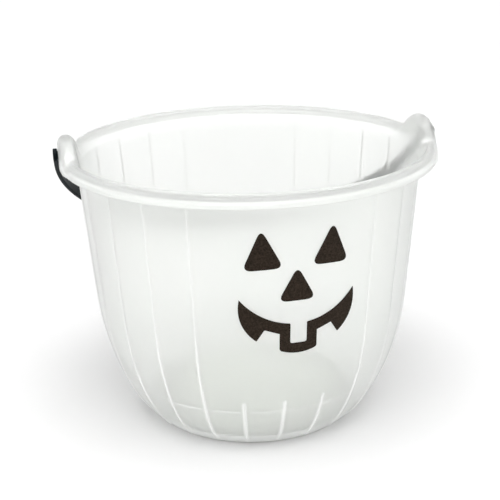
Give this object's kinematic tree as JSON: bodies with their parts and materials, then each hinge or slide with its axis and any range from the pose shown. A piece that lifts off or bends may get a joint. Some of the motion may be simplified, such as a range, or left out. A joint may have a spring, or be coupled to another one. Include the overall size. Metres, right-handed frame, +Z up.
{
  "type": "halloween bucket",
  "caption": "Translucent flared bucket with a ribbed wall, a beaded rim, raised ears, a swinging strap handle and a jack-o'-lantern face cut from film.",
  "frame": {"origin": "on the surface the bucket stands on, under its centre", "axes": "+Z up, the ears and the handle's pivots on the X axis, the face towards -Y"},
  "size_m": [0.2178, 0.2116, 0.1678],
  "materials": {
    "clear_plastic": "cloudy translucent moulding, semi-gloss",
    "black_plastic": "satin black moulding",
    "black_film": "mottled brown-black film"
  },
  "bodies": {
    "pail": {"pail_body": "clear_plastic", "eye_left": "black_film", "eye_right": "black_film", "nose": "black_film", "mouth": "black_film"},
    "bail": {"bail_handle": "black_plastic"}
  },
  "joints": [
    {"name": "bail_swing", "type": "hinge", "parent": "pail", "child": "bail", "pos_m": [0, 0, 0.157], "axis": [1, 0, 0], "range_deg": [0, 255]}
  ]
}
